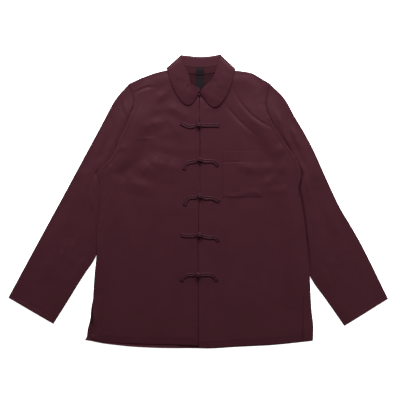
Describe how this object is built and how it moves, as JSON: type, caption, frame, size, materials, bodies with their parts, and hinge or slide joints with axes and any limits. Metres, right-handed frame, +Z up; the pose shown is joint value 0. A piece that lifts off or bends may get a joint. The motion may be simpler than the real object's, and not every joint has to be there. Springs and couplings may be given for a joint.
{
  "type": "mandarin shirt with turned-down collar",
  "caption": "Burgundy silky long-sleeved jacket shirt with a turned-down collar, knotted frog fastenings and a chest pocket, laid flat",
  "frame": {"origin": "Middle of the whole shirt's bounding box in plan, on the surface that it lies on", "axes": "+X across the shirt to the wearer's left, which is the longest way across the sleeves; +Y from the hem to the collar; +Z up out of the front, the shortest way"},
  "size_m": [1.025, 0.7938, 0.0204],
  "materials": {
    "silky_cloth": "plain woven silky cloth, soft sheen",
    "silky_cord": "rolled bias cord of the same cloth",
    "label_tape": "matt woven tape"
  },
  "bodies": {
    "root": {"back": "silky_cloth", "front_left": "silky_cloth", "front_right": "silky_cloth", "sleeve_left": "silky_cloth", "sleeve_right": "silky_cloth", "collar_stand": "silky_cloth", "collar_leaf": "silky_cloth", "chest_pocket": "silky_cloth", "label": "label_tape", "throat_button": "silky_cloth", "frog_knot_1": "silky_cord", "frog_knot_2": "silky_cord", "frog_knot_3": "silky_cord", "frog_knot_4": "silky_cord", "frog_knot_5": "silky_cord", "frog_button_arm_1": "silky_cord", "frog_button_arm_2": "silky_cord", "frog_button_arm_3": "silky_cord", "frog_button_arm_4": "silky_cord", "frog_button_arm_5": "silky_cord", "frog_loop_arm_1": "silky_cord", "frog_loop_arm_2": "silky_cord", "frog_loop_arm_3": "silky_cord", "frog_loop_arm_4": "silky_cord", "frog_loop_arm_5": "silky_cord"}
  },
  "joints": []
}
